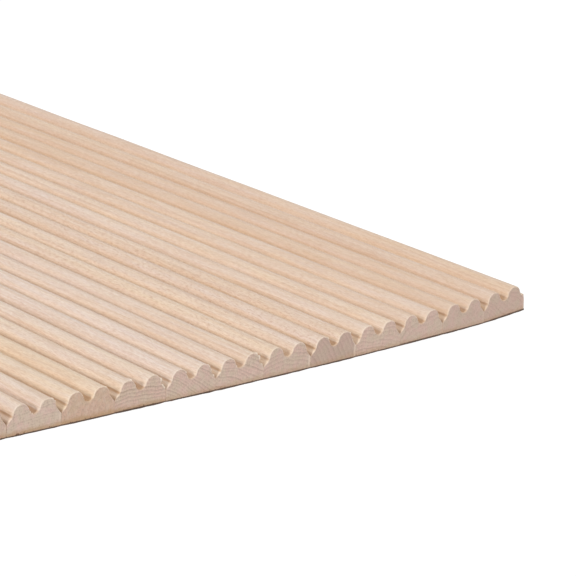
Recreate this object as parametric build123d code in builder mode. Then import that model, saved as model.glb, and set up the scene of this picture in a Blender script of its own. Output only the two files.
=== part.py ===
from build123d import *
from math import atan2, cos, degrees, radians, sin, tan
import os

# Tambour panel: solid wood slats, each with two round beads, glued side by side on a thin backing sheet.
# The slats run along X, the panel's width is along Y and the beaded face looks up, along Z.
# The origin is in the middle of the underside. One long edge, the one at +Y, curls up a little,
# because the backing lets each slat tilt against its neighbour. All sizes are in millimetres.

# Panel
slat_count = 25
panel_length = 1200.0
backing_thickness = 0.6

# Slat section: two beads with a cove between them, a bevel on each side that faces a neighbour
bead_radius = 3.6
bead_gap = 4.4
cove_drop = 1.15
bevel_width = 2.45
bevel_height = 3.3
side_height = 4.5

# The plain sides of the two outermost slats keep a square shoulder instead of a bevel
shoulder_drop = 1.0
shoulder_round = 0.7

# Curl of the +Y edge, in degrees: each slat tilts a little more than the last, and the outermost one most
curled_slats = 7
fold_step = 0.33
edge_tilt = 5.0

# What is left between two slats where they fold towards each other most
joint_clearance = 0.05

# Worked out from the sizes above
level_tilts = [0.0] * (slat_count - curled_slats)
rising_tilts = [fold_step * step for step in range(1, curled_slats)]
tilts = level_tilts + rising_tilts + [edge_tilt]
largest_fold = radians(max(after - before for before, after in zip(tilts, tilts[1:])))

side_top = backing_thickness + side_height
joint_gap = joint_clearance + 2 * side_top * tan(largest_fold / 2)
bead_centre_height = side_top + bevel_height
bead_offset = bead_gap / 2 + bead_radius
bead_flank = bead_offset + bead_radius
slat_half_width = bead_flank + bevel_width
slat_pitch = 2 * slat_half_width + joint_gap
cove_radius = (bead_offset**2 + cove_drop**2 - bead_radius**2) / (2 * (bead_radius + cove_drop))
cove_centre_height = bead_centre_height - cove_drop + cove_radius
blend_angle = degrees(atan2(cove_centre_height - bead_centre_height, bead_offset))


def across(tilt, distance):
    """A step of that length across the panel, along the underside of a slat with that tilt."""
    return distance * cos(radians(tilt)), distance * sin(radians(tilt))


def joint_points():
    """(y, z) of each joint on the underside of the backing, walked slat by slat from the level edge.
    The panel's two edges are as far from the origin."""
    points = [(0.0, 0.0)]
    for tilt in tilts:
        step_y, step_z = across(tilt, slat_pitch)
        points.append((points[-1][0] + step_y, points[-1][1] + step_z))
    level_edge = points[0][0] + joint_gap / 2
    curled_edge = points[-1][0] - across(tilts[-1], joint_gap / 2)[0]
    middle = (level_edge + curled_edge) / 2
    return [(y - middle, z) for y, z in points]


joints = joint_points()


def slat_plane(index):
    """Plane of a slat's section at the -X end: local x across the slat, local y up from the underside."""
    (y0, z0), (y1, z1) = joints[index], joints[index + 1]
    step_y, step_z = across(tilts[index], 1.0)
    return Plane(
        origin=(-panel_length / 2, (y0 + y1) / 2, (z0 + z1) / 2),
        x_dir=(0, step_y, step_z),
        z_dir=(1, 0, 0),
    )


def slat_side(side, at_panel_edge):
    """Draws the outline from a bead's outer flank down to the slat's base; side is -1 or 1.
    Between two slats it is bevelled, and at the panel's edge it keeps a square shoulder."""
    flank = (side * bead_flank, bead_centre_height)
    foot = (side * slat_half_width, backing_thickness)
    if at_panel_edge:
        corner = (side * slat_half_width, bead_centre_height - shoulder_drop)
    else:
        corner = (side * slat_half_width, side_top)
    Polyline(flank, corner, foot)


def shoulder_edge(edges, index, side):
    """The long edge where the shoulder turns down into the panel's plain side."""
    corner = (side * slat_half_width, bead_centre_height - shoulder_drop, panel_length / 2)
    return edges.sort_by_distance(slat_plane(index).from_local_coords(corner))[0]


def slat_solid(index):
    """One slat, a solid length of wood with two beads and a cove between them."""
    panel_edges = {-1: index == 0, 1: index == slat_count - 1}
    with BuildPart() as slat:
        with BuildSketch(slat_plane(index)):
            with BuildLine():
                slat_side(-1, panel_edges[-1])
                CenterArc((-bead_offset, bead_centre_height), bead_radius, 180, blend_angle - 180)
                CenterArc((0, cove_centre_height), cove_radius, 180 + blend_angle, 180 - 2 * blend_angle)
                CenterArc((bead_offset, bead_centre_height), bead_radius, 180 - blend_angle, blend_angle - 180)
                slat_side(1, panel_edges[1])
                Line((-slat_half_width, backing_thickness), (slat_half_width, backing_thickness))
            make_face()
        extrude(amount=panel_length)
        for side, at_panel_edge in panel_edges.items():
            if at_panel_edge:
                fillet(shoulder_edge(slat.edges().filter_by(Axis.X), index, side), shoulder_round)
    slat.part.label = f"slat_{index + 1:02d}"
    return slat.part


def backing_outline():
    """Corners of the backing's section: along its underside to the curled edge, and back along its top.
    It bends at the joints, and only where the tilt changes does it have a corner."""
    under, upper = [], []
    for index, (y, z) in enumerate(joints):
        before = tilts[max(index - 1, 0)]
        after = tilts[min(index, slat_count - 1)]
        at_end = index in (0, slat_count)
        if before == after and not at_end:
            continue
        if at_end:
            inwards = joint_gap / 2 if index == 0 else -joint_gap / 2
            step_y, step_z = across(after, inwards)
            y, z = y + step_y, z + step_z
        lean = radians((before + after) / 2)
        reach = backing_thickness / cos(radians((after - before) / 2))
        under.append((y, z))
        upper.append((y - reach * sin(lean), z + reach * cos(lean)))
    return under + upper[::-1]


with BuildPart() as backing_sheet:
    with BuildSketch(Plane.YZ.offset(-panel_length / 2)):
        with BuildLine():
            Polyline(*backing_outline(), close=True)
        make_face()
    extrude(amount=panel_length)
backing_sheet.part.label = "backing_sheet"

os.makedirs("parts", exist_ok=True)
export_step(backing_sheet.part, "parts/backing_sheet.step")
for index in range(slat_count):
    solid = slat_solid(index)
    export_step(solid, f"parts/{solid.label}.step")
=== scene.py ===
from functools import partial
from math import atan2, cos, degrees, pi, radians, sin, tan

import bpy
import numpy as np
from mathutils import Matrix, Vector


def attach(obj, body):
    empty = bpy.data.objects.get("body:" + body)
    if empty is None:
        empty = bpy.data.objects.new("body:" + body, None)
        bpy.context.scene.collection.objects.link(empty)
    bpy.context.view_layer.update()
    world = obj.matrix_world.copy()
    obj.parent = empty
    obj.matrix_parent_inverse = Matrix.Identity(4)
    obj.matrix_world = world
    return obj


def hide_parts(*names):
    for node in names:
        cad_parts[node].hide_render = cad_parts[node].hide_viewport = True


# Tambour panel: 25 beech slats, each moulded with two round beads, on a thin dark cloth backing.
# Sizes are in millimetres and become metres when a mesh is made. X runs along the slats, Y across
# the panel towards the long edge that curls up, and Z is up out of the beaded face.

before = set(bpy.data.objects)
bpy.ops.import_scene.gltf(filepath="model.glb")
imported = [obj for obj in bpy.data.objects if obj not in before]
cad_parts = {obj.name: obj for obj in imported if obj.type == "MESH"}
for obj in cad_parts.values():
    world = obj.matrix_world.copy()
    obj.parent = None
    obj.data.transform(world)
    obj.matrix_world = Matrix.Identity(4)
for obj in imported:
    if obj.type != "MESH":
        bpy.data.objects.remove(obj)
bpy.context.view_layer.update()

MM = 0.001

# Panel, the same driving sizes as the solids
SLAT_COUNT = 25
PANEL_LENGTH = 1200.0
BACKING_THICKNESS = 0.6
BEAD_RADIUS = 3.6
BEAD_GAP = 4.4
COVE_DROP = 1.15
BEVEL_WIDTH = 2.45
BEVEL_HEIGHT = 3.3
SIDE_HEIGHT = 4.5
CURLED_SLATS = 7
FOLD_STEP = 0.33
EDGE_TILT = 5.0
JOINT_CLEARANCE = 0.05

# Worked out from them
tilts = [0.0] * (SLAT_COUNT - CURLED_SLATS) + [FOLD_STEP * step for step in range(1, CURLED_SLATS)]
tilts.append(EDGE_TILT)
tilts = np.radians(tilts)
SIDE_TOP = BACKING_THICKNESS + SIDE_HEIGHT
JOINT_GAP = JOINT_CLEARANCE + 2 * SIDE_TOP * tan(np.diff(tilts).max() / 2)
BEAD_HEIGHT = SIDE_TOP + BEVEL_HEIGHT
BEAD_OFFSET = BEAD_GAP / 2 + BEAD_RADIUS
BEAD_FLANK = BEAD_OFFSET + BEAD_RADIUS
SLAT_HALF_WIDTH = BEAD_FLANK + BEVEL_WIDTH
SLAT_PITCH = 2 * SLAT_HALF_WIDTH + JOINT_GAP
COVE_RADIUS = (BEAD_OFFSET**2 + COVE_DROP**2 - BEAD_RADIUS**2) / (2 * (BEAD_RADIUS + COVE_DROP))
COVE_HEIGHT = BEAD_HEIGHT - COVE_DROP + COVE_RADIUS
BLEND_ANGLE = degrees(atan2(COVE_HEIGHT - BEAD_HEIGHT, BEAD_OFFSET))

# Fine shape of a slat's section, which the solids leave out
ARRIS = 0.2                 # the long lower edges
FULL_FLANK = 3.75           # the bead's outer half is this wide towards +Y, a little fuller than round
HOLLOW_AT = (0.30, 0.38)    # where the hollow bevel bends, as shares of its width and height
CORNER_EASE = 0.22          # over what distance the section's corners are eased

# The plain side of the panel's two long edges: how far it stands in, the round at its top, how far the
# middle of that round is below the middle of the beads, and the ledge from there up to the bead
EDGE_INSET = 0.2
SHOULDER_ROUND = 0.65
SHOULDER_DROP = 1.75
LEDGE_WIDTH = 1.35
LEDGE_DROP = 0.95
LEDGE_GAP = 0.25
LEDGE_RISE = 0.1

# What is left open between the sides of two slats, and the joints that opened a little more, by number
# from the level edge
HAIRLINE = 0.03
OPEN_JOINTS = {3: 0.08, 7: 0.06, 12: 0.10, 14: 0.14, 15: 0.10, 17: 0.12, 20: 0.06}

# Moulding: how far it wavers in and out, in waves from how long to how short, each as (along, around), and
# over what height above the plain side that sets in
SWELL = 0.035
SWELL_LONGEST = (420, 14)
SWELL_SHORTEST = (75, 4)
MOULDED_RISE = 1.5

# Sawn ends: how unevenly the slats are cut to length, how wide the eased edge to the moulded face is, how
# much of that width it cuts in on average and how far that varies, and the share of it on the plain sides
SAW_PLAY = 0.3
END_ROUND = 0.55
EASED_SHARE = 0.85
EASED_PLAY = 0.12
SIDE_SHARE = 0.03

# Torn fibres at a sawn end: the fewest and most of them, how tall and how long they are and how wide. They
# stand where the section faces +Y by this much and is moulded by this much, both as shares.
RIDGE_COUNT = (3, 7)
RIDGE_TALL = (0.15, 0.6)
RIDGE_LONG = (0.8, 3.5)
RIDGE_WIDE = 0.28
RIDGE_FACING = 0.25
RIDGE_MOULDED = 0.15

# How splintered the sawn edge of a slat is, from 0 to 1, and of the slats not named here
SPLINTERED = {15: 0.3, 17: 0.5, 18: 0.4, 19: 0.5, 21: 0.3}
LESS_SPLINTERED = 0.1

# Torn lips on the shown end of three slats, on the side towards +Y: how high the middle of the lip is, how
# far it runs each way along the section and how far it stands out, and how far in from the end they reach
TORN_LIPS = {
    17: [(9.6, 0.9, 0.9), (7.2, 0.6, 0.8), (5.6, 0.4, 0.5)],
    18: [(6.6, 0.7, 0.7), (8.9, 0.5, 0.4)],
    19: [(9.8, 0.8, 0.9), (6.3, 0.5, 0.5)],
}
LIP_LONG = 0.8

# Where wood looks sawn, as the share of the eased edge's depth, and where it looks splintered, as how far
# fibres stand out: from where, and how much further until it fully does
SAWN_FROM = (0.45, 0.35)
SPLINTER_FROM = (0.2, 0.3)

# Backing: how deep it is creased under each joint, how uneven its rim at the sawn ends is, how far that rim
# stands in, and how far along the cloth this reaches
CREASE = 0.12
RIM_PLAY = 0.12
RIM_INSET = 0.1
RIM_REACH = 10.0

# Fineness of a slat's mesh: points over the top of its section, their longest step and their sharpest turn
# in degrees, rows up a sawn end, and stations round the eased edge, near an end and between the ends
ACROSS = 88
LONGEST_STEP = 0.75
SHARPEST_TURN = 11
ROWS = 4
ROUND_STATIONS = np.radians([22.5, 45, 67.5, 90])
NEAR_STATIONS = (1.1, 2.0, 3.4, 5.5, 8.5, 13.0, 20.0)
MIDDLE_FROM = 32.0
MIDDLE_STATIONS = 52

# Fineness of the backing's mesh: points under each slat and stations along it
PER_SLAT = 8
BACKING_STATIONS = 81

# Where the random draws for the slats, for the grain's run-out and for the backing start
SLAT_SEED = 700
RUN_OUT_SEED = 1200
BACKING_SEED = 31

# The grain runs out of a slat by up to this much, sideways and upwards, for each millimetre along it, and
# the slats come from different places along so much of a log
RUN_OUT = (0.045, 0.030)
LOG_LENGTH = 9000.0

# What each slat's wood is like: how its growth rings lean, in degrees, how far below the slat the middle of
# the tree was and how wide a ring is, in millimetres, and from 0 to 1 how clear the rings are on its end,
# how straw coloured rather than pinkish and how dark the wood is, how strong its ray flecks are, how warm
# and how dark its sawn end is, and how torn that end's edge towards +Y is
BOARD_RANGES = {
    "lean": (-70, 70), "pith": (35, 110), "ring": (1.0, 2.2), "clear": (0.3, 0.9), "warmth": (0.25, 0.75),
    "shade": (0.0, 0.7), "fleck": (0.1, 0.6), "end_warmth": (0.1, 0.6), "end_shade": (0.1, 0.6),
    "torn": (0.0, 0.5),
}

# The slats whose ends show in the photograph, from the curled edge inwards, in the same order
SHOWN_BOARDS = [
    (-45, 60, 1.7, 0.45, 0.45, 0.75, 0.30, 0.30, 0.62, 0.3),
    (-35, 70, 1.9, 0.15, 0.50, 0.95, 0.20, 0.25, 0.60, 0.2),
    (22, 45, 2.2, 0.45, 0.50, 0.52, 0.20, 0.20, 0.35, 0.1),
    (-8, 60, 1.5, 0.70, 0.50, 0.25, 0.20, 0.25, 0.20, 0.1),
    (-60, 50, 1.8, 0.75, 0.50, 0.38, 1.00, 0.15, 0.80, 0.9),
    (-6, 38, 1.5, 0.60, 0.50, 0.17, 0.80, 0.20, 0.30, 0.9),
    (-22, 80, 1.3, 0.85, 0.38, 0.15, 0.20, 0.20, 0.15, 0.2),
    (-38, 60, 1.2, 0.80, 0.30, 0.00, 0.20, 0.20, 0.15, 0.1),
    (0, 45, 1.5, 1.00, 0.50, 0.00, 0.30, 0.35, 0.12, 0.1),
    (55, 70, 2.4, 0.30, 0.95, 0.15, 0.10, 0.95, 0.17, 0.2),
    (5, 60, 1.1, 0.45, 0.40, 0.17, 0.30, 0.15, 0.12, 0.7),
]

# From 0 to 1, how dark the painted shade is at the bottom of the joint on the level side of each of them,
# which also deepens the painted shade in their grooves, and how much glue soaked into the foot of their ends
SHOWN_PAINTED_SHADE_DEPTH = [0.4, 0.75, 0.75, 0.4, 0.9, 0.2, 0.45, 0.3, 1.0, 0.9, 1.0]
SHOWN_GLUE = [0.35, 0.3, 0.3, 0.4, 0.45, 0.35, 0.5, 0.45, 0.8, 1.0, 1.0]

# How these reach the wood, three to an attribute. The depth of the painted shade has one of its own.
BOARD_ATTRIBUTES = {
    "tone": ("warmth", "shade", "fleck"),
    "growth": ("ring", "clear", "torn"),
    "end_tone": ("end_warmth", "end_shade", "glue"),
}

# The cloth's weave is drawn with threads this wide
THREAD = 1.6

# The photograph's camera, in metres in the row frame, and its focal length for a 36 mm sensor
CAMERA_PLACE = (1.2871, -0.4540, 0.3270)
CAMERA_FORWARD = (-0.70846, 0.63875, -0.30014)
CAMERA_UP = (-0.26805, 0.14988, 0.95167)
CAMERA_LENS = 158.07

# Lamps: where each stands, seen from the panel, how wide it looks in degrees, and what it adds to a surface
# that faces it. The key stands low beyond the level edge and a little towards the shown ends, so each bead
# shades the foot of the next one. The other two are wide and soft, high in front and behind.
LAMPS = {
    "key": ((0.22, -1.0, 0.44), 5, 0.265),
    "front_fill": ((0.20, -1.0, 1.73), 60, 0.30),
    "back_fill": ((0.20, 1.0, 0.84), 90, 0.23),
}
ROOM_LIGHT = 0.435

# Floor, in metres: how far it reaches each way, and how far it is below the panel
FLOOR_REACH = 12.0
FLOOR_DROP = 0.0004


# Meshes

def make_piece(name, places, quads, flat_from, node, smooth_below=35):
    """A mesh object from an array of places in millimetres and an array of four-cornered faces, of which
    those from number flat_from on are flat. It rides on the part's one body and stands for a CAD node.
    Edges sharper than smooth_below degrees stay sharp."""
    mesh = bpy.data.meshes.new(name)
    mesh.vertices.add(len(places))
    mesh.vertices.foreach_set("co", (places * MM).astype(np.float32).ravel())
    mesh.loops.add(quads.size)
    mesh.loops.foreach_set("vertex_index", quads.astype(np.int32).ravel())
    mesh.polygons.add(len(quads))
    mesh.polygons.foreach_set("loop_start", np.arange(0, quads.size, 4, dtype=np.int32))
    mesh.update(calc_edges=True)
    mesh.polygons.foreach_set("use_smooth", np.arange(len(quads)) < flat_from)
    mesh.set_sharp_from_angle(angle=radians(smooth_below))
    mesh.validate()
    piece = bpy.data.objects.new(name, mesh)
    bpy.context.scene.collection.objects.link(piece)
    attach(piece, "root")
    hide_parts(node)
    return piece


def store(piece, name, kind, values):
    """Keeps one value or vector for each vertex, for the materials to read."""
    attribute = piece.data.attributes.new(name, kind, "POINT")
    key = "vector" if kind == "FLOAT_VECTOR" else "value"
    attribute.data.foreach_set(key, np.asarray(values, np.float32).ravel())


def grid_faces(index):
    """Faces between neighbours in a grid of vertex numbers."""
    a, b, c, d = index[:-1, :-1], index[1:, :-1], index[1:, 1:], index[:-1, 1:]
    return np.stack([a, b, c, d], -1).reshape(-1, 4)


def arc(centre, radius, start, end, count):
    """Points on a circle from one angle to another, in degrees."""
    angles = np.radians(np.linspace(start, end, count))
    return np.array(centre) + radius * np.stack([np.cos(angles), np.sin(angles)], 1)


def walked(path):
    """How far along a path each of its points is: the running sum of its steps."""
    return np.r_[0, np.cumsum(np.hypot(*np.diff(path, axis=0).T))]


def square_to(headings):
    """Unit vectors a quarter turn to the left of each heading."""
    return np.stack([-headings[:, 1], headings[:, 0]], 1) / np.hypot(*headings.T)[:, None]


def rising(values, start, reach):
    """0 up to start, then evenly up to 1 over that reach."""
    return np.clip((values - start) / reach, 0, 1)


def falling(distance, reach):
    """1 at no distance, evenly down to 0 over that reach."""
    return np.clip(1 - distance / reach, 0, 1)


def spaced(path, count, ease):
    """The path with its corners eased and spread over count points. It is cut into short even steps, each
    step is averaged with those within about ease millimetres, and the points are put closer where it
    turns."""
    lengths = walked(path)
    step = 0.04
    even = np.arange(0, lengths[-1], step)
    fine = np.stack([np.interp(even, lengths, path[:, k]) for k in (0, 1)], 1)
    reach = int(3 * ease / step)
    weights = np.exp(-0.5 * (np.arange(-reach, reach + 1) * step / ease) ** 2)
    weights /= weights.sum()
    first = 2 * fine[0] - fine[reach:0:-1]
    last = 2 * fine[-1] - fine[-2:-reach - 2:-1]
    padded = np.vstack([first, fine, last])
    smooth = np.stack([np.convolve(padded[:, k], weights, "valid") for k in (0, 1)], 1)
    heading = np.unwrap(np.arctan2(*np.gradient(smooth, axis=0).T[::-1]))
    effort = np.cumsum(step / LONGEST_STEP + np.abs(np.gradient(heading)) / radians(SHARPEST_TURN))
    effort -= effort[0]
    at = np.linspace(0, effort[-1], count)
    return np.stack([np.interp(at, effort, smooth[:, k]) for k in (0, 1)], 1)


def wander(along, around, chance, waves, longest, shortest):
    """A smooth random surface of about unit size: a sum of cosines with wavelengths between longest and
    shortest, as (along, around) pairs in millimetres, at random phases and headings."""
    total = 0
    for _ in range(waves):
        length = [long * (short / long) ** chance.random() for long, short in zip(longest, shortest)]
        phase = chance.random() * 2 * pi
        turns = along / length[0] + chance.choice((-1, 1)) * around / length[1]
        total = total + np.cos(2 * pi * turns + phase)
    return total * (2 / waves) ** 0.5


# Slats

def joint_line():
    """(y, z) of each joint on the backing's underside: the running sum of one pitch at each slat's tilt,
    moved so that the panel's two edges are as far from the middle."""
    steps = SLAT_PITCH * np.stack([np.cos(tilts), np.sin(tilts)], 1)
    points = np.vstack([[0, 0], np.cumsum(steps, axis=0)])
    low_edge = points[0, 0] + JOINT_GAP / 2
    high_edge = points[-1, 0] - JOINT_GAP / 2 * cos(tilts[-1])
    points[:, 0] -= (low_edge + high_edge) / 2
    return points


joints = joint_line()


def side_play(joint, height):
    """How far a slat's side may stand out past the solid's side towards a joint, at a height above the
    underside, so that the two sides nearly touch: half of the gap there less the hairline."""
    fold = tilts[joint] - tilts[joint - 1]
    left_open = OPEN_JOINTS.get(joint, HAIRLINE)
    return max((JOINT_GAP - 2 * height * tan(fold / 2) - left_open) / 2, 0)


def half_outline(index, side):
    """One half of a slat's section, mirrored to the left: from the foot of its side to the middle of the
    cove. Between two slats the side turns into a bevel that meets the bead. At the panel's edge the bead's
    flank runs out on a narrow ledge, and the ledge turns down into the side."""
    cove = arc((0, COVE_HEIGHT), COVE_RADIUS, 180 + BLEND_ANGLE, 270, 12)
    bead_centre = (-BEAD_OFFSET, BEAD_HEIGHT)
    joint = index if side < 0 else index + 1
    foot_height = BACKING_THICKNESS + ARRIS
    if joint in (0, SLAT_COUNT):
        plain = -SLAT_HALF_WIDTH + EDGE_INSET
        corner = arc((plain + SHOULDER_ROUND, BEAD_HEIGHT - SHOULDER_DROP), SHOULDER_ROUND, 180, 100, 6)
        ledge_foot = (plain + LEDGE_WIDTH, BEAD_HEIGHT - LEDGE_DROP)
        ledge_top = (-BEAD_FLANK - LEDGE_GAP, BEAD_HEIGHT + LEDGE_RISE)
        start = np.vstack([(plain, foot_height), corner, ledge_foot, ledge_top])
        bead = arc(bead_centre, BEAD_RADIUS, 170, BLEND_ANGLE, 40)
    else:
        low, high = (SLAT_HALF_WIDTH + side_play(joint, height) for height in (foot_height, SIDE_TOP))
        flank = BEAD_OFFSET + (FULL_FLANK if side > 0 else BEAD_RADIUS)
        hollow = (-flank - HOLLOW_AT[0] * BEVEL_WIDTH, BEAD_HEIGHT - HOLLOW_AT[1] * BEVEL_HEIGHT)
        start = np.array([(-low, foot_height), (-high, SIDE_TOP), hollow])
        bead = arc(bead_centre, BEAD_RADIUS, 180, BLEND_ANGLE, 40)
        outer = (bead[:, 0] < -BEAD_OFFSET) & (side > 0)
        bead[outer, 0] = (bead[outer, 0] + BEAD_OFFSET) * FULL_FLANK / BEAD_RADIUS - BEAD_OFFSET
    return np.vstack([start, bead, cove])


def end_grid(index):
    """A slat's sawn end as a grid of (across, up), in straight rows between its upper outline and its
    underside, and the (row, column) of the points on the grid's rim, once round. How far along the
    underside a point is comes three parts from how far across the point above is, and one part from how far
    along the outline."""
    left = half_outline(index, -1)
    right = half_outline(index, 1)[::-1] * (-1, 1)
    upper = spaced(np.vstack([left, right[1:]]), ACROSS, CORNER_EASE)
    lengths = walked(upper)
    share = 0.75 * (upper[:, 0] - upper[0, 0]) / np.ptp(upper[:, 0]) + 0.25 * lengths / lengths[-1]
    low, high = upper[0, 0] + ARRIS, upper[-1, 0] - ARRIS
    under = np.stack([low + (high - low) * share, np.full(ACROSS, BACKING_THICKNESS)], 1)
    face = under + (upper - under) * np.linspace(0, 1, ROWS)[:, None, None]
    rim = [(ROWS - 1, column) for column in range(ACROSS)]
    rim += [(row, ACROSS - 1) for row in range(ROWS - 2, 0, -1)]
    rim += [(0, column) for column in range(ACROSS - 1, -1, -1)]
    rim += [(row, 0) for row in range(1, ROWS - 1)]
    return face, np.array(rim)


def stations(low, high):
    """Places along the slat: round the eased edge at both ends, then further and further apart."""
    near = np.r_[END_ROUND * (1 - np.cos(ROUND_STATIONS)), NEAR_STATIONS]
    middle = np.linspace(low + MIDDLE_FROM, high - MIDDLE_FROM, MIDDLE_STATIONS)
    return np.r_[low, low + near, middle, high - near[::-1], high]


def torn_ridges(x, s, ends, torn_places, splintered, chance):
    """How far torn fibres stand out: each is a ridge with a bell curve across it, at one of the torn places
    round the section, and falls away evenly from its end of the slat."""
    torn = x * 0
    for end in ends:
        for _ in range(chance.integers(RIDGE_COUNT[0], RIDGE_COUNT[1] + 1)):
            middle = chance.choice(torn_places)
            tall = chance.uniform(*RIDGE_TALL) * (0.3 + 1.2 * splintered)
            long = chance.uniform(*RIDGE_LONG)
            ridge = np.exp(-((s - middle) / RIDGE_WIDE) ** 2) * falling(np.abs(x - end), long)
            torn = np.maximum(torn, tall * ridge * (x * end > 0))
    return torn


def torn_lips(x, s, high, section, around, lips):
    """How far the torn lips stand out: across each is a flat-topped bell curve, with a fourth power in
    place of the square, and it falls away evenly from the shown end."""
    on_right = np.where(section[:, 0] > BEAD_OFFSET, section[:, 1], np.inf)
    torn = x * 0
    for lip_height, reach, tall in lips:
        middle = around[np.argmin(np.abs(on_right - lip_height))]
        lip = tall * np.exp(-((s - middle) / reach) ** 4) * falling(high - x, LIP_LONG)
        torn = np.maximum(torn, lip)
    return torn


def closed_slat(body, face, rim):
    """Places and faces of a slat, and how many of the faces are moulded. Its surface is a grid of stations
    along it and points round it, and a grid of its own closes each sawn end."""
    number = np.arange(body[..., 0].size).reshape(body.shape[:2])
    places = [body.reshape(-1, 3)]
    faces = [grid_faces(np.concatenate([number, number[:, :1]], 1))[:, ::-1]]
    inner = face[1:-1, 1:-1].reshape(-1, 2)
    for station, first in ((0, number.size), (-1, number.size + len(inner))):
        end = np.zeros((ROWS, ACROSS), int)
        end[rim[:, 0], rim[:, 1]] = number[station]
        end[1:-1, 1:-1] = first + np.arange(len(inner)).reshape(ROWS - 2, ACROSS - 2)
        places.append(np.column_stack([np.full(len(inner), body[station, 0, 0]), inner]))
        quads = grid_faces(end)
        faces.append(quads if station == 0 else quads[:, ::-1])
    return np.vstack(places), np.vstack(faces), len(faces[0])


def laid(index, local):
    """A slat's places turned by its tilt and moved to stand between its two joints."""
    turn = tilts[index]
    middle = (joints[index] + joints[index + 1]) / 2
    y = middle[0] + local[:, 1] * cos(turn) - local[:, 2] * sin(turn)
    z = middle[1] + local[:, 1] * sin(turn) + local[:, 2] * cos(turn)
    return np.column_stack([local[:, 0], y, z])


def choose_board(index, chance):
    """What a slat's wood is like, by name, drawn at random where the photograph doesn't show its end."""
    drawn = [chance.uniform(low, high) for low, high in BOARD_RANGES.values()]
    from_edge = SLAT_COUNT - 1 - index
    if from_edge < len(SHOWN_BOARDS):
        board = dict(zip(BOARD_RANGES, SHOWN_BOARDS[from_edge]))
        board["painted_shade_depth"] = SHOWN_PAINTED_SHADE_DEPTH[from_edge]
        board["glue"] = SHOWN_GLUE[from_edge]
    else:
        board = dict(zip(BOARD_RANGES, drawn))
        board["painted_shade_depth"] = (index * 0.37) % 0.8 + 0.2
        board["glue"] = (index * 0.53) % 0.7 + 0.3
    board["lean"] = radians(board["lean"])
    return board


def store_wood(piece, index, local, sawn, splinter, chance):
    """What the wood needs at each vertex: its place in the log, measured from the middle of the tree with
    the grain's run-out added, its place in the slat, how sawn and how splintered it is, what the slat's
    wood is like, and whether it is away from the panel's plain long edge."""
    board = choose_board(index, chance)
    from_shown = local[:, 0] - PANEL_LENGTH / 2
    run_out = np.random.default_rng(RUN_OUT_SEED + index).uniform(-1, 1, 2) * RUN_OUT
    along = local[:, 0] + chance.uniform(0, LOG_LENGTH)
    side = local[:, 1] - board["pith"] * sin(board["lean"]) + from_shown * run_out[0]
    height = local[:, 2] + board["pith"] * cos(board["lean"]) + from_shown * run_out[1]
    on_ends = len(local) - sawn.size
    outward = local[:, 1] * {0: -1, SLAT_COUNT - 1: 1}.get(index, 0)
    store(piece, "log_place", "FLOAT_VECTOR", np.column_stack([along, side, height]))
    store(piece, "section_place", "FLOAT_VECTOR", local)
    store(piece, "sawn", "FLOAT", np.r_[sawn.ravel(), np.ones(on_ends)])
    store(piece, "splinter", "FLOAT", np.r_[splinter.ravel(), np.zeros(on_ends)])
    # How deep the painted shade in the slat's joints and grooves is
    store(piece, "painted_shade_depth", "FLOAT", np.full(len(local), board["painted_shade_depth"]))
    store(piece, "by_neighbour", "FLOAT", outward < BEAD_OFFSET)
    for name, keys in BOARD_ATTRIBUTES.items():
        store(piece, name, "FLOAT_VECTOR", np.tile([board[key] for key in keys], (len(local), 1)))


def make_slat(index):
    """One slat. Its section (across, up) is carried along X, and every point moves along the section's
    normal: in and out by a slow random waviness of the moulding, in at both ends, where the sawn arris is
    eased and a little ragged, and out by the torn fibres, which stand on faces towards +Y, where the saw
    came out."""
    chance = np.random.default_rng(SLAT_SEED + index)
    face, rim = end_grid(index)
    section = face[rim[:, 0], rim[:, 1]]
    around = walked(section)
    normal = square_to(np.roll(section, -1, 0) - np.roll(section, 1, 0))
    moulded = rising(section[:, 1], SIDE_TOP, MOULDED_RISE)
    low = -PANEL_LENGTH / 2 + chance.uniform(0, SAW_PLAY)
    high = PANEL_LENGTH / 2 - chance.uniform(0, SAW_PLAY)
    x, s = np.meshgrid(stations(low, high), around, indexing="ij")

    swell = SWELL * wander(x, s, chance, 10, SWELL_LONGEST, SWELL_SHORTEST) * moulded
    round_share = falling(np.minimum(x - low, high - x), END_ROUND)
    rounding = 1 - np.sqrt(1 - round_share**2)
    ragged = END_ROUND * (EASED_SHARE + EASED_PLAY * wander(x * 0, s, chance, 8, (1, 3.5), (1, 1.0)))
    eased = ragged * rounding * (SIDE_SHARE + (1 - SIDE_SHARE) * moulded)
    torn_places = around[(normal[:, 0] > RIDGE_FACING) & (moulded > RIDGE_MOULDED)]
    splintered = SPLINTERED.get(index + 1, LESS_SPLINTERED)
    ridges = torn_ridges(x, s, (low, high), torn_places, splintered, chance)
    lips = torn_lips(x, s, high, section, around, TORN_LIPS.get(index + 1, []))
    torn = np.maximum(ridges, lips) * (round_share < 1)

    move = swell - eased + torn
    across = section[None, :, 0] + normal[None, :, 0] * move
    up = section[None, :, 1] + normal[None, :, 1] * move
    places, faces, moulded_faces = closed_slat(np.stack([x, across, up], -1), face, rim)
    name = f"slat_{index + 1:02d}"
    piece = make_piece(f"moulded_{name}", laid(index, places), faces, moulded_faces, name)
    store_wood(piece, index, places, rising(rounding, *SAWN_FROM), rising(torn, *SPLINTER_FROM), chance)
    return piece


# Backing

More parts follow.
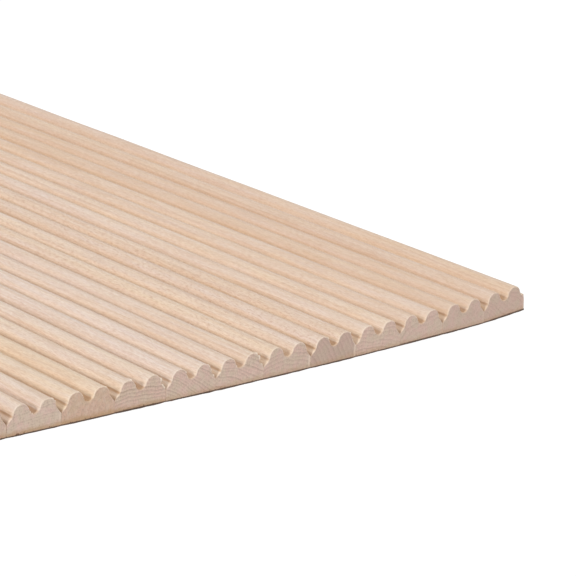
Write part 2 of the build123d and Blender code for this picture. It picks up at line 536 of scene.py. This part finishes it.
def make_backing():
    """The backing sheet, a closed slab: a grid of places along X and across the joints, once for its
    underside and once for its top, joined round the rim. Under each joint the underside has a shallow
    crease, and the rim at the sawn ends is a little uneven."""
    chance = np.random.default_rng(BACKING_SEED)
    share = np.arange(PER_SLAT) / PER_SLAT
    starts, ends = joints[:-1].copy(), joints[1:].copy()
    starts[0] += JOINT_GAP / 2 * np.array([cos(tilts[0]), sin(tilts[0])])
    ends[-1] -= JOINT_GAP / 2 * np.array([cos(tilts[-1]), sin(tilts[-1])])
    line = (starts[:, None] + (ends - starts)[:, None] * share[None, :, None]).reshape(-1, 2)
    line = np.vstack([line, ends[-1]])
    normal = square_to(np.gradient(line, axis=0))
    along = np.linspace(-PANEL_LENGTH / 2, PANEL_LENGTH / 2, BACKING_STATIONS)
    x, s = np.meshgrid(along, np.arange(len(line)) * SLAT_PITCH / PER_SLAT, indexing="ij")
    uneven = RIM_PLAY * wander(x * 0, s, chance, 9, (50, 40), (50, 3))
    x = x + np.sign(x) * falling(PANEL_LENGTH / 2 - np.abs(x), RIM_REACH) * (uneven - RIM_INSET)

    crease = np.where(np.arange(len(line)) % PER_SLAT, 0.0, CREASE)
    crease[[0, -1]] = 0
    slabs = []
    for rise in (crease, BACKING_THICKNESS):
        y = line[None, :, 0] + normal[None, :, 0] * rise + 0 * x
        z = line[None, :, 1] + normal[None, :, 1] * rise + 0 * x
        slabs.append(np.stack([x, y, z], -1))
    places = np.stack(slabs)
    number = np.arange(places[..., 0].size).reshape(places.shape[:3])
    faces = [grid_faces(number[0])[:, ::-1], grid_faces(number[1])]
    faces += [grid_faces(number[:, 0, :])[:, ::-1], grid_faces(number[:, -1, :])]
    faces += [grid_faces(number[:, :, 0]), grid_faces(number[:, :, -1])[:, ::-1]]
    quads = np.vstack(faces)
    flat_places = places.reshape(-1, 3)
    piece = make_piece("cloth_backing", flat_places, quads, len(quads), "backing_sheet")
    store(piece, "creased", "FLOAT", np.broadcast_to(crease / CREASE, number.shape))
    return piece


# Materials

def linear(hex_colour):
    """A colour written as sRGB hex, as linear red, green, blue and 1."""
    parts = [int(hex_colour[i:i + 2], 16) / 255 for i in (1, 3, 5)]
    return tuple(p / 12.92 if p <= 0.04045 else ((p + 0.055) / 1.055) ** 2.4 for p in parts) + (1.0,)


def add(tree, kind, inputs=None, **settings):
    """Adds a node with its settings. Inputs are given by name or number, as a value or a socket to link."""
    node = tree.nodes.new(kind)
    for name, value in settings.items():
        setattr(node, name, value)
    for key, value in (inputs or {}).items():
        if isinstance(value, bpy.types.NodeSocket):
            tree.links.new(value, node.inputs[key])
        else:
            node.inputs[key].default_value = value
    return node


def read(tree, name):
    """The outputs of a node that reads what store() kept under that name."""
    return add(tree, "ShaderNodeAttribute", attribute_name=name).outputs


def calculate(tree, operation, *values, clamp=False):
    """What a math operation makes of one, two or three values."""
    node = add(tree, "ShaderNodeMath", dict(enumerate(values)), operation=operation, use_clamp=clamp)
    return node.outputs[0]


def scale(tree, vector, factors):
    """A vector with each of its three parts times a factor of its own."""
    return add(tree, "ShaderNodeVectorMath", {0: vector, 1: factors}, operation="MULTIPLY").outputs[0]


def separate(tree, vector):
    """The three parts of a vector."""
    return add(tree, "ShaderNodeSeparateXYZ", {0: vector}).outputs


def blend(tree, share, low, high):
    """The low colour where share is 0, the high one where it is 1, and a mixture between."""
    return add(tree, "ShaderNodeMix", {0: share, 6: low, 7: high}, data_type="RGBA").outputs[2]


def new_material(name):
    """A material without nodes, and the tree that they go in."""
    material = bpy.data.materials.new(name)
    material.use_nodes = True
    material.node_tree.nodes.clear()
    return material, material.node_tree


def beech():
    """Beech, machine moulded along the grain and left bare, with sawn ends. Long grain is pale, between
    pinkish and straw, with faint growth lines, a fine mottle of fibres and pores, and short brown ray
    flecks. The flanks of each bead are painted paler as a highlight, with a warm painted bounce light below
    them. The foot of each bead, the floor of the cove and the bottom of each joint are painted brown as
    shade, and a painted highlight runs along the sawn edge. The torn fibres are paler. End grain drinks more
    light, so it is greyer and darker, with soft ring bands, fine rays across them, faint saw marks, and glue
    soaked in along its foot."""
    material, tree = new_material("beech_moulded_bare")
    math, mix, split = partial(calculate, tree), partial(blend, tree), partial(separate, tree)
    place = read(tree, "log_place")["Vector"]
    section = read(tree, "section_place")["Vector"]
    sawn, splinter, painted_shade_depth, by_neighbour = (
        read(tree, name)["Fac"] for name in ("sawn", "splinter", "painted_shade_depth", "by_neighbour"))
    warmth, shade, flecked = split(read(tree, "tone")["Vector"])
    ring_width, clear, torn = split(read(tree, "growth")["Vector"])
    end_warmth, end_shade, glue = split(read(tree, "end_tone")["Vector"])
    along, side, height = split(section)

    def noise(size, detail=2.0, rough=0.5, vector=place):
        """Noise from 0 to 1 whose blotches are about size millimetres along the grain and across it."""
        blotches = scale(tree, vector, tuple(1 / s for s in size))
        return add(tree, "ShaderNodeTexNoise",
                   {"Vector": blotches, "Scale": 1.0, "Detail": detail, "Roughness": rough}).outputs["Fac"]

    def times(first, *others):
        """All of them multiplied together."""
        for other in others:
            first = math("MULTIPLY", first, other)
        return first

    def between(value, low, high):
        """0 at low, 1 at high and a smooth step from one to the other. Low may be the larger of the two."""
        return add(tree, "ShaderNodeMapRange", {"Value": value, "From Min": low, "From Max": high},
                   interpolation_type="SMOOTHSTEP").outputs["Result"]

    def stain(colour, share, strength, hex_colour):
        """The colour with a share of another laid over it, at that strength."""
        return mix(math("MULTIPLY", share, strength), colour, linear(hex_colour))

    # Distance from the middle of the tree, bent a little, and where that is in its growth ring
    radius = add(tree, "ShaderNodeVectorMath", {0: scale(tree, place, (0.0, 1.0, 1.0))},
                 operation="LENGTH").outputs["Value"]
    bend = math("MULTIPLY_ADD", noise((320, 18, 18)), 6.0, radius)
    bend = math("MULTIPLY_ADD", noise((40, 4, 4)), 0.9, bend)
    grown = math("DIVIDE", bend, ring_width)
    in_ring = math("FRACT", grown)
    which = add(tree, "ShaderNodeTexWhiteNoise", {"W": math("FLOOR", grown)}, noise_dimensions="1D")
    ring_strength = math("MULTIPLY_ADD", which.outputs["Value"], 0.75, 0.25)
    late = times(math("POWER", in_ring, 1.8), between(in_ring, 1.0, 0.86), ring_strength)

    # Long grain
    band = math("SUBTRACT", noise((380, 9, 9), 3.0), 0.5)
    hue = math("SUBTRACT", noise((26, 2.0, 2.0), 2.0, 0.55), 0.5)
    tint = math("MULTIPLY_ADD", band, 1.3, warmth)
    tint = math("MULTIPLY_ADD", hue, 1.15, tint, clamp=True)
    colour = mix(tint, linear("#EADAD2"), linear("#EFDAC1"))
    streak = between(noise((110, 1.3, 1.3), 3.0, 0.6), 0.35, 0.75)
    colour = stain(colour, streak, 0.36, "#DDBD9E")
    grey = between(noise((60, 2.2, 2.2)), 0.48, 0.74)
    colour = stain(colour, grey, 0.33, "#D5C0B1")
    patchy = between(noise((120, 10, 10)), 0.35, 0.65)
    colour = stain(colour, times(late, patchy), 0.50, "#C99E7C")
    mottle = between(noise((13, 1.4, 1.4), 2.0, 0.6), 0.46, 0.72)
    colour = stain(colour, mottle, 0.15, "#D0AC8B")
    fibre = noise((2.6, 0.35, 0.35), 2.0, 0.6)
    colour = stain(colour, between(fibre, 0.44, 0.72), 0.31, "#C39D7D")
    colour = stain(colour, between(fibre, 0.46, 0.28), 0.30, "#FBF0E2")
    fleck = between(noise((2.0, 0.5, 0.5), 1.0), 0.57, 0.67)
    colour = stain(colour, times(fleck, flecked), 0.34, "#BE8F70")
    colour = stain(colour, shade, 0.40, "#D2AF8F")

    # Painted light: the flanks of each bead are painted a little paler as a highlight, and their foot warmer
    # as painted bounce light from the groove
    flank = between(height, BEAD_HEIGHT + 0.5, BEAD_HEIGHT + 1.1)
    flank = times(flank, between(height, BEAD_HEIGHT + 2.4, BEAD_HEIGHT + 1.3))
    painted_flank_highlight = math("MULTIPLY_ADD", flank, 0.065, 1.0)
    colour = add(tree, "ShaderNodeVectorMath", {0: colour, "Scale": painted_flank_highlight}, operation="SCALE").outputs[0]
    # Painted warm bounce light low on each bead
    colour = stain(colour, between(height, BEAD_HEIGHT + 1.5, BEAD_HEIGHT + 0.5), 0.11, "#F2D29A")

    # Painted shade: the foot of each bead and the floor of the cove are painted brown, and the bottom of the
    # joint darker still. All of it is stronger near the sawn ends, and the panel's plain long edges have
    # none.
    from_end = math("SUBTRACT", PANEL_LENGTH / 2, math("ABSOLUTE", along))
    near_end = between(from_end, 24.0, 8.0)
    in_joint = times(math("MULTIPLY_ADD", near_end, 0.55, 0.45), by_neighbour)
    bead_foot = times(between(height, BEAD_HEIGHT - 0.05, BEAD_HEIGHT - 0.6),
                      between(height, BEAD_HEIGHT - 1.5, BEAD_HEIGHT - 0.7), in_joint)
    in_cove = between(math("ABSOLUTE", side), BEAD_OFFSET + 0.4, BEAD_OFFSET - 1.0)
    cove_floor = times(in_cove, between(height, BEAD_HEIGHT - 0.05, BEAD_HEIGHT - 0.9),
                       math("MULTIPLY_ADD", near_end, 0.25, 0.75))
    painted_groove_shade = times(math("MAXIMUM", bead_foot, cove_floor), math("MULTIPLY_ADD", painted_shade_depth, 0.5, 0.75))
    # Painted brown shade in the grooves
    colour = stain(colour, painted_groove_shade, 0.52, "#AE7C4C")
    # Painted darker shade at the bottom of each joint
    painted_joint_shade = times(between(height, SIDE_TOP + 1.5, SIDE_TOP + 0.1), between(height, SIDE_TOP - 0.5, SIDE_TOP),
                  math("MULTIPLY_ADD", painted_shade_depth, 0.9, 0.1), in_joint)
    colour = stain(colour, painted_joint_shade, 0.66, "#885A33")

    # A painted highlight along the sawn edge: a pale rim where the end meets the long grain
    colour = stain(colour, between(from_end, 0.9, 0.3), 0.28, "#FBEBD6")

    # End grain: growth rings, rays, pores, pale patches and slanting saw marks 1.1 mm apart
    _, log_across, log_up = split(place)
    angle = math("MULTIPLY", math("ARCTAN2", log_across, log_up), 60.0)
    spread = add(tree, "ShaderNodeCombineXYZ", {0: angle, 1: radius}).outputs[0]
    end = mix(between(noise((60, 4.5, 4.5)), 0.36, 0.64), linear("#EACBBF"), linear("#E3D0BC"))
    end = stain(end, end_warmth, 0.50, "#D8AE85")
    end = stain(end, times(late, clear), 0.95, "#A5806C")
    end = stain(end, between(noise((0.9, 9.0, 1.0), 1.0, 0.5, spread), 0.45, 0.7), 0.14, "#B89A89")
    end = stain(end, between(noise((5, 0.6, 0.6), 2.0, 0.7), 0.47, 0.72), 0.46, "#AE8E7C")
    end = stain(end, between(noise((5, 1.6, 1.6), 1.0), 0.52, 0.36), 0.26, "#EAD6C6")
    sawing = math("SINE", math("MULTIPLY_ADD", side, 2 * pi / 1.1, math("MULTIPLY", height, 1.3)))
    end = stain(end, between(sawing, -0.2, 0.9), 0.07, "#F0E2D4")
    end = stain(end, end_shade, 0.50, "#A98B7D")

    # A paler strip where its edge towards +Y is torn, and glue soaked into its foot, with dark crumbs
    strip_at = math("MULTIPLY_ADD", noise((5, 1.2, 1.2)), 1.2, side)
    strip = times(between(strip_at, SLAT_HALF_WIDTH - 0.75, SLAT_HALF_WIDTH - 0.35),
                  between(strip_at, SLAT_HALF_WIDTH + 0.65, SLAT_HALF_WIDTH + 0.35), torn)
    end = stain(end, strip, 0.75, "#EFD9C8")
    soaked_at = math("MULTIPLY_ADD", noise((9, 2.5, 2.5)), 2.4, height)
    soaked = times(between(soaked_at, 4.2, 2.0), math("MULTIPLY_ADD", glue, 0.75, 0.25))
    end = stain(end, soaked, 0.66, "#C29A6C")
    crumbs = times(between(height, BACKING_THICKNESS + 0.9, BACKING_THICKNESS + 0.2),
                   between(noise((3, 1.0, 1.0), 1.0), 0.60, 0.68), glue)
    end = stain(end, crumbs, 0.85, "#6A4029")

    skin = mix(sawn, colour, end)
    skin = stain(skin, between(splinter, 0.0, 0.45), 0.80, "#FBEBD8")
    rough = math("MULTIPLY_ADD", fibre, 0.15, 0.50)
    relief = math("MULTIPLY_ADD", fibre, 0.6, math("MULTIPLY", late, -0.4))
    bump = add(tree, "ShaderNodeBump", {"Height": relief, "Strength": 0.25, "Distance": 0.0001})
    shader = add(tree, "ShaderNodeBsdfPrincipled", {
        "Base Color": skin, "Roughness": rough, "Normal": bump.outputs[0], "IOR": 1.45,
        "Specular IOR Level": 0.5})
    add(tree, "ShaderNodeOutputMaterial", {"Surface": shader.outputs[0]})
    return material


def backing_cloth():
    """Cotton cloth filled with dark brown glue, rolled flat: dull and dark, with its weave just showing, and
    rubbed a little paler where it bends at the joints. Its threads are about 0.8 mm apart, but they are
    drawn twice as coarse, so that they show."""
    material, tree = new_material("glue_filled_cloth")
    math = partial(calculate, tree)
    place = add(tree, "ShaderNodeTexCoord").outputs["Object"]
    along, across, _ = separate(tree, scale(tree, place, (2 * pi / (THREAD * MM),) * 3))
    weave = math("MULTIPLY", math("SINE", along), math("SINE", across))
    cloud = add(tree, "ShaderNodeTexNoise", {"Vector": place, "Scale": 60.0, "Detail": 4.0}).outputs["Fac"]
    level = math("MULTIPLY_ADD", weave, 0.30, cloud)
    level = math("MULTIPLY_ADD", read(tree, "creased")["Fac"], 0.35, level)
    colour = blend(tree, level, linear("#4C3A2E"), linear("#7A6150"))
    bump = add(tree, "ShaderNodeBump", {"Height": weave, "Strength": 0.4, "Distance": 0.0001})
    shader = add(tree, "ShaderNodeBsdfPrincipled", {
        "Base Color": colour, "Roughness": 0.75, "Normal": bump.outputs[0], "IOR": 1.45})
    add(tree, "ShaderNodeOutputMaterial", {"Surface": shader.outputs[0]})
    return material


# Stage, light and camera

def make_floor():
    """A wide white floor. What the camera sees of it is mostly plain white, with the soft shadow kept."""
    mesh = bpy.data.meshes.new("floor")
    corners = [(x * FLOOR_REACH, y * FLOOR_REACH, 0) for x, y in ((-1, -1), (1, -1), (1, 1), (-1, 1))]
    mesh.from_pydata(corners, [], [(0, 1, 2, 3)])
    floor = bpy.data.objects.new("floor", mesh)
    floor.location.z = -FLOOR_DROP
    bpy.context.scene.collection.objects.link(floor)
    material, tree = new_material("white_floor")
    math = partial(calculate, tree)
    path = add(tree, "ShaderNodeLightPath").outputs
    seen = math("MAXIMUM", path["Is Camera Ray"], path["Is Glossy Ray"])
    seen = math("MAXIMUM", seen, path["Is Transmission Ray"])
    lit = add(tree, "ShaderNodeBsdfDiffuse", {"Color": linear("#F2F2F2")}).outputs[0]
    white = add(tree, "ShaderNodeEmission", {"Color": (1, 1, 1, 1), "Strength": 1.08}).outputs[0]
    both = add(tree, "ShaderNodeMixShader", {0: math("MULTIPLY", seen, 0.93), 1: lit, 2: white})
    add(tree, "ShaderNodeOutputMaterial", {"Surface": both.outputs[0]})
    mesh.materials.append(material)


def make_world(strength):
    """A white room: plain white where it is seen, and an even soft light on the panel."""
    world = bpy.data.worlds.new("white_room")
    bpy.context.scene.world = world
    world.use_nodes = True
    tree = world.node_tree
    tree.nodes.clear()
    seen = add(tree, "ShaderNodeLightPath").outputs["Is Camera Ray"]
    level = add(tree, "ShaderNodeMapRange", {"Value": seen, "To Min": strength, "To Max": 1.0})
    light = add(tree, "ShaderNodeBackground", {"Color": (1, 1, 1, 1), "Strength": level.outputs["Result"]})
    add(tree, "ShaderNodeOutputWorld", {"Surface": light.outputs[0]})


def make_lamp(name, towards, spread, power):
    """A distant soft lamp."""
    light = bpy.data.lights.new(name, "SUN")
    light.angle = radians(spread)
    light.energy = power * pi
    lamp = bpy.data.objects.new(name, light)
    lamp.rotation_euler = Vector(towards).to_track_quat("Z", "Y").to_euler()
    bpy.context.scene.collection.objects.link(lamp)


def make_camera():
    """The photograph's viewpoint: camera axes from the forward and up directions."""
    forward, up = Vector(CAMERA_FORWARD).normalized(), Vector(CAMERA_UP).normalized()
    right = forward.cross(up)
    data = bpy.data.cameras.new("camera")
    data.lens, data.sensor_width = CAMERA_LENS, 36.0
    data.clip_start, data.clip_end = 0.01, 100.0
    camera = bpy.data.objects.new("camera", data)
    turn = Matrix((right, up, -forward)).transposed()
    camera.matrix_world = Matrix.Translation(CAMERA_PLACE) @ turn.to_4x4()
    bpy.context.scene.collection.objects.link(camera)
    bpy.context.scene.camera = camera


make_camera()
make_world(ROOM_LIGHT)
for lamp_name, setting in LAMPS.items():
    make_lamp(lamp_name, *setting)
make_floor()
wood = beech()
for slat_index in range(SLAT_COUNT):
    make_slat(slat_index).data.materials.append(wood)
make_backing().data.materials.append(backing_cloth())
bpy.context.scene.view_settings.view_transform = "Standard"
